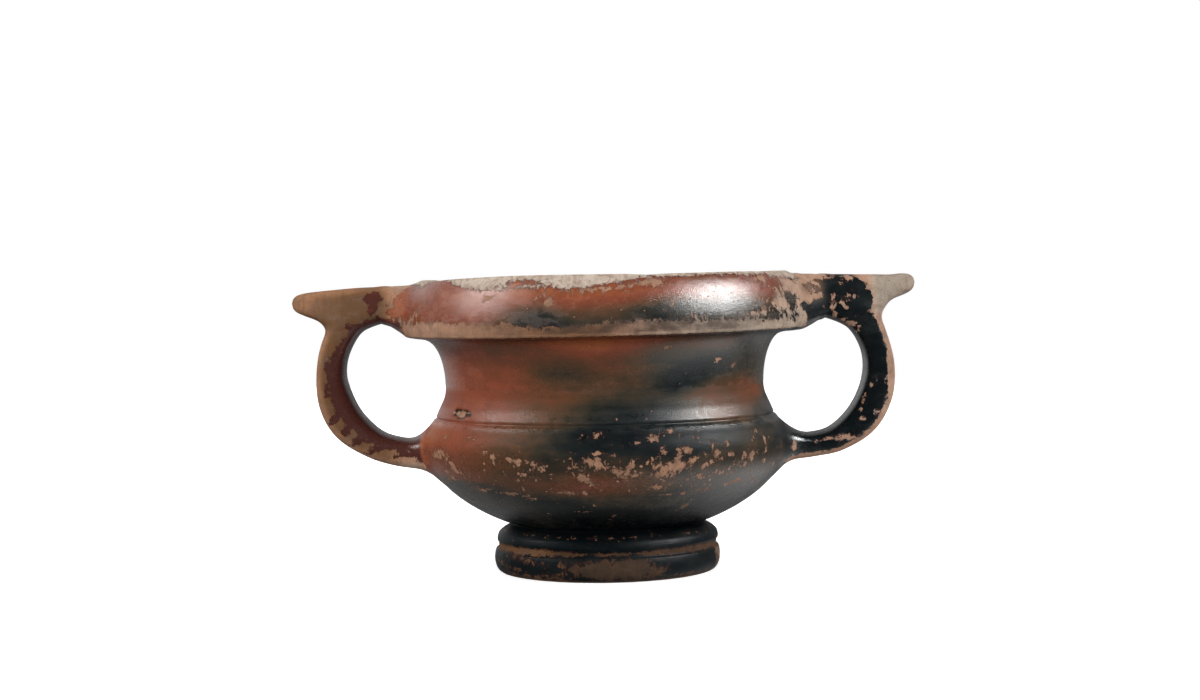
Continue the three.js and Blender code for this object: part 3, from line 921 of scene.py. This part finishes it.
LEFT_KEPT = [
    (52.8, 63.6, 2.3, 1.4), (52.6, 61.6, 1.1, 2.4, 10), (47.6, 59.9, 2.8, 0.9, 25),
    (49.6, 61.2, 1, 0.7, 30), (58.4, 57.7, 1, 0.6), (57.6, 56.8, 0.9, 0.6, -35),
    (44.4, 65.6, 1.6, 0.25, -20), (44.6, 62.4, 3.4, 2.5), (63.2, 47.2, 0.9, 2.6, -12),
    (63.9, 42.6, 0.5, 1.8, 6), (61.6, 36.4, 0.9, 2.3, 32), (59.4, 33.4, 1.1, 1.2, 45),
    (56, 31.3, 2.8, 1, -28), (52.2, 29.2, 3, 0.8, -22), (46, 27.6, 3.4, 0.6, -8),
    (41.5, 27.3, 2.4, 0.9, -10), (50.2, 58.2, 2.2, 0.5, -10), (58.6, 44, 1, 1.2),
]

# The scraped band round the foot: its height, and half its width at each turn from the front.
BAND_Z = 6.35
BAND_HALF = [(-75, 0.7), (-35, 0.75), (-22, 0.45), (-10, 0.2), (12, 0.2), (25, 0.45), (45, 0.65), (75, 0.6)]
UPPER_EDGE = 9.9  # the worn edge of the foot's upper moulding
SCUFFED_Z = 0.35  # up to here the foot is rubbed bare by what it stands on

# How far out the right spur's gloss ends at each height.
RIGHT_BORDER = [(57, 61.0), (59.8, 61.3), (61.6, 62.4), (63.2, 60.7), (67, 61.8)]

# How far across the left strap its gloss reaches at each height, from -1 inside the loop to 1 outside it.
LEFT_BORDER = [(27, -0.35), (30, -0.15), (40, 0.1), (47, 0.05), (55, -0.4), (60, -0.75)]

# How low the cream crust on the lip reaches across the front.
CRUST_BORDER = [
    (-58, 68.6), (-52, 67.2), (-46, 66.1), (-30, 65.4), (-15, 65.5), (0, 66), (8, 66.6), (13, 67.3),
]

# The flat strip under the rim: where its clay starts, its tone at each turn, and how much darker it is made,
# most across the front.
STRIP_BOTTOM = 55.05
STRIP_TOP = 57.7
STRIP_PALE = [(-65, 0.58), (-45, 0.52), (-25, 0.42), (-5, 0.35), (12, 0.7), (35, 0.98), (60, 0.88)]
STRIP_DARKENING = [(-45, 0.05), (-28, 0.35), (-10, 0.55), (5, 0.6), (25, 0.6), (38, 0.45), (48, 0.15), (60, 0)]


class Wear:
    """Soft fields over the skin, in millimetres or as shares, that the material breaks up into wear and a
    painted sheen.
    """

    def __init__(self, points, form):
        self.x, self.y, self.z = points.T
        self.turn = azimuth(points)
        self.radius = np.hypot(self.x, self.y)
        self.level = self.z - tilt(self.x, self.z)
        side = np.interp(self.level, SIDE_HEIGHT, SIDE_RADIUS)
        over = self.radius - side
        self.handle = ease(over, 0.3, 1.8) * ease(self.level, 16, 20)
        self.inside = (over < -WALL * 0.5) & (self.level > FLOOR_Z - 0.5)
        self.under = (over < -0.4) & (self.level < FLOOR_Z - 1)
        self.outer = np.zeros(len(points))
        for side_sign, loop in zip((1, -1), form.loops):
            here = (self.x * side_sign > 35) & (self.handle > 0)
            self.outer[here] = loop.outer_share(points[here], side_sign)

    def spot(self, place):
        return patch(self.turn, self.level, self.radius, place)

    def mark(self, place, side):
        """A place on one handle, on its front, and its like on the back."""
        out, up, *shape = place
        return ellipse(self.x * side - out, self.z - up, *shape)

    def clay(self):
        """Millimetres inside the edge of the bare clay; below zero is gloss."""
        field = np.full(len(self.x), -3.0)
        for place in BARE:
            sureness = max(1.0, 0.5 / min(place[2:4]))
            field = np.maximum(field, self.spot(place) * sureness - 0.12)
        wave = 0.35 * np.sin(np.radians(self.turn * 5)) + 0.25 * np.sin(np.radians(self.turn * 11 + 40))
        strip = STRIP_TOP + wave + 0.6 * ease(np.abs(self.turn + 45), 30, 5) - self.level
        field = np.maximum(field, np.minimum(strip, (self.level - STRIP_BOTTOM) * 5))
        field = np.maximum(field, 2 * (read_off(self.turn, BAND_HALF) - np.abs(self.level - BAND_Z)))
        edge = -0.55 - np.abs(self.level - UPPER_EDGE)
        field = np.maximum(field, edge)
        for place in KEPT:
            field = np.minimum(field, -self.spot(place))
        right, left = self.right_handle(), self.left_handle()
        on_handle = np.where(self.x > 0, right * 2, left * 1.6)
        field = field * (1 - self.handle) + on_handle * self.handle
        field = np.where(self.inside, -2.6, field)
        field = np.where(self.under, 1.2 - 2.2 * ease(self.radius, 6, 12) * ease(self.radius, 17, 13), field)
        return np.where(self.z < SCUFFED_Z, 1.0, field)

    def right_handle(self):
        """Black gloss, worn to the clay along its outer edge and beyond a sharp border on the spur."""
        worn = (self.outer - 0.55) * 3.4 - 3.0 * ease(self.z, 59, 61)
        border = read_off(self.z, RIGHT_BORDER)
        spur = (self.x - border) * 1.6 - 6 * ease(self.z, 60, 57)
        field = np.maximum(worn, spur)
        for place in RIGHT_BARE:
            field = np.maximum(field, self.mark(place, 1))
        for place in RIGHT_KEPT:
            field = np.minimum(field, -self.mark(place, 1))
        return field

    def left_handle(self):
        """Bare, with scraps of gloss on its front and most of the gloss left inside the loop."""
        edge = read_off(self.z, LEFT_BORDER)
        field = (self.outer - edge) * 3.2
        field = np.minimum(field, 1.5)
        for place in LEFT_KEPT:
            field = np.minimum(field, -1.5 * self.mark(place, -1))
        return field

    def tone_haze_and_sheen(self):
        """How the gloss fired, and how milky it is with its painted sheen, from the nearby places in TONES.
        """
        total = np.full(len(self.x), 1e-6)
        tone, haze_and_sheen = total * OLIVE, total * 0.0
        up_here = np.interp(self.level, SIDE_HEIGHT, SIDE_LENGTH)
        for turn, height, value, milk_and_sheen in TONES:
            across = np.radians((self.turn - turn + 180) % 360 - 180) * np.maximum(self.radius, 20)
            up = up_here - np.interp(height, SIDE_HEIGHT, SIDE_LENGTH)
            share = np.exp(-((across / TONE_REACH[0]) ** 2) - (up / TONE_REACH[1]) ** 2) + 1e-9
            total += share
            tone += share * value
            haze_and_sheen += share * milk_and_sheen
        tone, haze_and_sheen = tone / total, haze_and_sheen / total
        right, left = (self.x > 0) * self.handle, (self.x < 0) * self.handle
        root = ease(-self.x, 51, 47.5) * ease(self.z, 57, 60)
        brown = 0.02 + 0.5 * ease(self.x, 52, 49) * ease(self.z, 60.5, 62.5)
        tone = tone * (1 - right - left) + right * brown + left * (MAROON - 0.3 * root)
        tone = np.where(self.inside, OLIVE + 0.15 * np.sin(np.radians(self.turn * 2 + 50)), tone)
        return tone, haze_and_sheen * (1 - self.handle) + 0.2 * root * left

    def flecks(self):
        """How thickly small flakes are missing, from 0 to 1."""
        belly = ease(self.level, 20, 22.5) * ease(self.level, 31.5, 28.5)
        share = 0.08 + 0.42 * belly + 0.1 * ease(self.level, 31, 32) * ease(self.level, 35.5, 34)
        share += 0.15 * ease(self.level, 56, 58) - 0.08 * ease(self.level, 37, 40) * ease(self.level, 55, 53)
        share += 0.1 * ease(self.level, 12.5, 10) - 0.06 * (self.level < 10)
        right = (self.x > 0) * self.handle
        share = share * (1 - self.handle) + 0.08 * right + 0.2 * (self.handle - right)
        return np.where(self.inside, 0.25, share)

    def crust(self):
        """Millimetres inside the edge of the cream crust on the lip."""
        turn = self.turn
        border = 66.5 + 0.4 * np.sin(np.radians(turn * 3 + 20)) + 0.3 * np.sin(np.radians(turn * 7))
        front = read_off(turn, CRUST_BORDER)
        is_front = ease(turn, -72, -64) * ease(turn, 62, 54)
        border = border * (1 - is_front) + is_front * (front + 0.2 * np.sin(np.radians(turn * 13)))
        field = self.level - border
        field = np.minimum(field, -self.spot((-24, 66.6, 4.2, 0.8, 4)))
        field = np.where(self.inside, self.level - 66.4, field)
        return field * (1 - self.handle) - 2.0 * self.handle

    def pale(self):
        """The bare clay's own tone, from brown at 0 through orange and pink buff to grey beige at 1."""
        share = np.full(len(self.x), 0.52)
        strip = ease(self.level, 60, 58) * (self.level > 54.9)
        along = read_off(self.turn, STRIP_PALE)
        share = share * (1 - strip) + strip * along
        foot = ease(self.level, 9, 7.5)
        low = 0.08 + 0.2 * ease(np.abs(self.turn - 5), 15, 22) + 0.4 * ease(np.abs(self.turn), 60, 75)
        band = ease(np.abs(self.level - BAND_Z), 1.3, 0.9)
        share = share * (1 - foot) + foot * (low * (1 - band) + 0.25 * band)
        share += 0.2 * ease(self.turn, 45, 60) * ease(self.level, 57, 60) * (self.turn < 110)
        spur = ease(self.x, 60, 64) * ease(self.z, 57, 60)
        right = (0.62 + 0.38 * spur) * (self.x > 0)
        tip = ease(-self.x, 62, 70) * ease(self.z, 57, 60)
        top = ease(self.z - 0.09 * (60 + self.x), 63.5, 65.5)
        rim_end = ease(-self.x, 52, 47) * ease(self.z, 53, 57)
        left = 0.22 + 0.22 * ease(self.outer, 0.3, 0.85) * ease(self.z, 58, 54) + 0.16 * np.maximum(tip, top)
        left = (left + 0.35 * rim_end + 0.3 * ease(-self.x, 52, 44) * ease(self.z, 32, 29)) * (self.x < 0)
        share = share * (1 - self.handle) + self.handle * (right + left)
        return np.where(self.under, 0.35, share)

    def darkening(self):
        """How much darker the bare clay is made, from 0 to 1: across the front of the strip under the rim,
        and low on the foot.
        """
        strip = ease(self.level, 60, 58) * (self.level > 54.9)
        along = read_off(self.turn, STRIP_DARKENING)
        strip = strip * ease(self.level, 55.3, 55.9)
        scraped = ease(self.turn, -22, -35) * ease(self.level, 5, 5.6)
        foot = ease(self.level, 9.5, 8.5) * (0.62 - 0.3 * scraped)
        return np.maximum(strip * along, foot) * (1 - self.handle)

    def dull(self):
        """Where the gloss is worn dull, from 0 to 1."""
        below_groove = ease(self.level, 35.3, 33.8) * ease(self.level, 24, 28)
        shoulder = ease(self.level, 35, 35.6) * ease(self.level, 44, 42)
        shoulder = shoulder * (0.5 + 0.5 * ease(self.level, 38, 39.5))
        foot = ease(self.level, 13, 11)
        spread = [below_groove, shoulder, 0.12 * ease(self.level, 24, 20), foot]
        crown = ease(self.z, 57, 60)
        return np.max(spread, axis=0) * (1 - self.handle) + self.handle * crown

    def chip(self):
        """Millimetres inside the edge of the chip in the shoulder."""
        return np.maximum(chipped(self.turn, self.level, self.radius), -2)


def lay_wear(piece, points, form):
    """Stores the wear's fields on the mesh for the material to read."""
    wear = Wear(points, form)
    tone, haze_and_sheen = wear.tone_haze_and_sheen()
    fields = {
        "clay": wear.clay(),
        "tone": tone,
        "haze_and_sheen": haze_and_sheen,
        "flecks": wear.flecks(),
        "crust": wear.crust(),
        "pale": wear.pale(),
        "chip": wear.chip(),
        "dull": wear.dull(),
        "darkening": wear.darkening(),
    }
    for name, values in fields.items():
        attribute = piece.data.attributes.new(name, "FLOAT", "POINT")
        attribute.data.foreach_set("value", np.asarray(values, np.float32))


GLOSS = [
    (0.0, (0.003, 0.006, 0.0075)),
    (0.13, (0.01, 0.014, 0.014)),
    (0.27, (0.04, 0.032, 0.021)),
    (0.4, (0.092, 0.045, 0.022)),
    (0.53, (0.15, 0.05, 0.023)),
    (0.66, (0.225, 0.058, 0.029)),
    (0.8, (0.3, 0.085, 0.03)),
    (0.92, (0.17, 0.045, 0.024)),
    (1.0, (0.075, 0.022, 0.016)),
]
CLAY = [
    (0.0, (0.08, 0.062, 0.046)),
    (0.22, (0.17, 0.08, 0.034)),
    (0.4, (0.36, 0.18, 0.095)),
    (0.6, (0.5, 0.285, 0.19)),
    (0.8, (0.55, 0.4, 0.3)),
    (1.0, (0.42, 0.35, 0.28)),
]
CLAY_CLOUD = (0.2, 0.13, 0.09)
CLAY_GRAIN = (0.12, 0.07, 0.045)
CLAY_SPECK = (0.07, 0.045, 0.035)
CLAY_STROKE = (0.1, 0.055, 0.032)
CREAM = (0.6, 0.5, 0.41)
CREAM_CLOUD = (0.36, 0.25, 0.19)
CREAM_GRAIN = (0.22, 0.17, 0.13)
CRUST_OUTLINE = (0.13, 0.035, 0.028)
PIT = (0.02, 0.012, 0.01)
# A pale milky colour: a painted sheen laid over the gloss where the haze is, standing in for highlights.
PAINTED_MILKY_SHEEN = (0.36, 0.27, 0.24)
# The near black that the bare clay is darkened towards, on the strip's front and low on the foot.
DARKER_CLAY = (0.022, 0.016, 0.012)
OUTLINE_TONE = (0.05, 0.016, 0.012)


def worn_gloss():
    """Streaky satin gloss that has flaked off fired clay, with a cream crust along the lip."""
    material = bpy.data.materials.new("worn_glossed_clay")
    make = Nodes(material)
    shader = make.tree.nodes["Principled BSDF"]
    place = make.node("ShaderNodeTexCoord", {}).outputs["Object"]
    mm = make.stretched(place, (1000, 1000, 1000))
    along = make.stretched(mm, (0.1, 0.1, 1.0))

    ragged = make.noise(mm, 0.75, 7, 0.7, 0.5)
    islands = make.noise(mm, 0.5, 6, 0.64, 0.9)
    specks = make.noise(mm, 1.5, 4, 0.62, 0.4)
    dots = make.node("ShaderNodeTexVoronoi", {"Vector": mm, "Scale": 0.8, "Randomness": 1.0})
    chance = make.node("ShaderNodeSeparateColor", {0: dots.outputs["Color"]}).outputs[0]
    streaks = make.noise(along, 0.8, 3, 0.5)
    clouds = make.noise(mm, 0.09, 3, 0.55)
    mottle = make.noise(make.stretched(mm, (0.6, 0.6, 1.0)), 0.45, 5, 0.62, 0.3)
    grain = make.noise(mm, 3.4, 3, 0.6)
    pores = make.noise(mm, 7.0, 2, 0.5)

    edge = make.scaled(ragged, 6.0, -3.0)
    edge = make.scaled(grain, 1.4, make.shifted(edge, -0.7))
    patches = make.math("ADD", make.field("clay"), edge)
    flecks = make.field("flecks")
    large = make.scaled(flecks, 0.2, make.math("SUBTRACT", islands, 0.76))
    small = make.scaled(flecks, 0.19, make.math("SUBTRACT", specks, 0.79))
    loose = make.larger(make.scaled(large, 6.0), make.scaled(small, 3.0))
    chip = make.field("chip")
    reach = make.scaled(flecks, 0.75, make.math("SUBTRACT", chance, 1.0))
    reach = make.scaled(ragged, 1.3, make.scaled(reach, 0.7, -0.62))
    dotted = make.scaled(make.math("SUBTRACT", reach, dots.outputs["Distance"]), 3.0)
    chipped_off = make.scaled(chip, 2.0, -0.2)
    lost = make.larger(make.larger(patches, loose), chipped_off)
    lost = make.larger(lost, dotted)
    curl = make.math("ABSOLUTE", make.shifted(make.noise(mm, 0.9, 2, 0.5, 1.2), -0.5))
    gate = make.scaled(make.noise(mm, 0.33, 2), 8.0, -6.1)
    gate = make.scaled(flecks, 2.6, gate)
    curled = make.math("MINIMUM", make.scaled(curl, -40.0, 0.5), gate)
    lost = make.larger(lost, curled)
    bare = make.between(lost, -0.07, 0.07)
    thin = make.between(lost, -0.55, -0.05)

    toned = make.scaled(streaks, 0.2, make.shifted(make.field("tone"), -0.1))
    toned = make.scaled(mottle, 0.34, make.shifted(toned, -0.17))
    toned = make.scaled(clouds, 0.24, make.shifted(toned, -0.12))
    gloss = make.ramp(make.scaled(toned, 0.8), GLOSS)
    gloss = make.blend(make.between(pores, 0.6, 0.72, 0.0, 0.4), gloss, PIT)
    # Painted sheen: the haze lays a pale milky colour over the gloss, standing in for highlights and
    # reflections.
    haze_and_sheen = make.scaled(make.field("haze_and_sheen"), make.between(grain, 0.3, 0.7, 0.4, 0.8))
    haze_and_sheen = make.scaled(haze_and_sheen, make.between(mottle, 0.4, 0.6, 0.1, 1.0))
    gloss = make.blend(haze_and_sheen, gloss, PAINTED_MILKY_SHEEN)
    gloss = make.blend(make.scaled(thin, 0.6), gloss, OUTLINE_TONE)

    clay = make.ramp(make.scaled(clouds, 0.3, make.shifted(make.field("pale"), -0.15)), CLAY)
    clay = make.blend(make.between(mottle, 0.42, 0.68, 0.0, 0.55), clay, CLAY_CLOUD)
    clay = make.blend(make.between(grain, 0.38, 0.72, 0.0, 0.3), clay, CLAY_GRAIN)
    clay = make.blend(make.between(specks, 0.6, 0.75, 0.0, 0.5), clay, CLAY_SPECK)

    # The bare clay is made darker across the front of the strip under the rim and low on the foot.
    darkening = make.scaled(make.field("darkening"), make.between(mottle, 0.3, 0.62, 0.7, 1.25))
    clay = make.blend(darkening, clay, DARKER_CLAY)
    brushed = make.noise(make.stretched(mm, (1.0, 1.0, 0.22)), 1.1, 3, 0.6)
    clay = make.blend(make.between(brushed, 0.45, 0.65, 0.0, 0.22), clay, CLAY_STROKE)

    crusted = make.math("ADD", make.field("crust"), make.scaled(ragged, 4.4, -2.2))
    crust = make.between(crusted, -0.1, 0.12)
    cream = make.blend(make.between(islands, 0.4, 0.65), CREAM, CREAM_CLOUD)
    cream = make.blend(make.between(grain, 0.45, 0.75, 0.0, 0.5), cream, CREAM_GRAIN)
    crust_edge = make.scaled(make.between(crusted, -0.5, -0.1), 0.75)

    colour = make.blend(bare, gloss, clay)
    chip_edge = make.scaled(make.between(chip, -0.4, -0.05), make.between(chip, 0.3, 0.1))
    chip_edge = make.scaled(chip_edge, make.between(islands, 0.4, 0.5))
    colour = make.blend(chip_edge, colour, PIT)
    colour = make.blend(crust_edge, colour, CRUST_OUTLINE)
    colour = make.blend(crust, colour, cream)
    make.put(shader.inputs["Base Color"], colour)

    satin = make.between(mottle, 0.35, 0.65, 0.16, 0.3)
    satin = make.scaled(make.field("haze_and_sheen"), 0.12, satin)
    satin = make.scaled(grain, 0.16, make.shifted(satin, -0.08))
    satin = make.scaled(make.field("dull"), 0.2, satin)
    matte = make.larger(bare, crust)
    rough = make.node("ShaderNodeMix", {0: matte, 2: satin, 3: 0.82}).outputs[0]
    make.put(shader.inputs["Roughness"], rough)
    dulled = make.larger(make.field("dull"), make.scaled(matte, 0.8))
    make.put(shader.inputs["Specular IOR Level"], make.scaled(dulled, -0.4, 0.48))

    relief = make.scaled(bare, -0.09)
    relief = make.scaled(crust, 0.16, relief)
    relief = make.scaled(grain, 0.07, relief)
    relief = make.scaled(streaks, 0.02, relief)
    coarse = make.scaled(matte, make.scaled(pores, 0.12))
    relief = make.math("ADD", relief, coarse)
    bump = make.node("ShaderNodeBump", {"Strength": 1.0, "Distance": MM, "Height": relief})
    make.put(shader.inputs["Normal"], bump.outputs[0])
    return material


piece, points, form = cup()
lay_wear(piece, points, form)
piece.data.materials.append(worn_gloss())
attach(piece, "root")
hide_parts("kantharos")

lay_floor()
place_lights()
surroundings()
place_camera()
bpy.context.scene.view_settings.view_transform = "Standard"
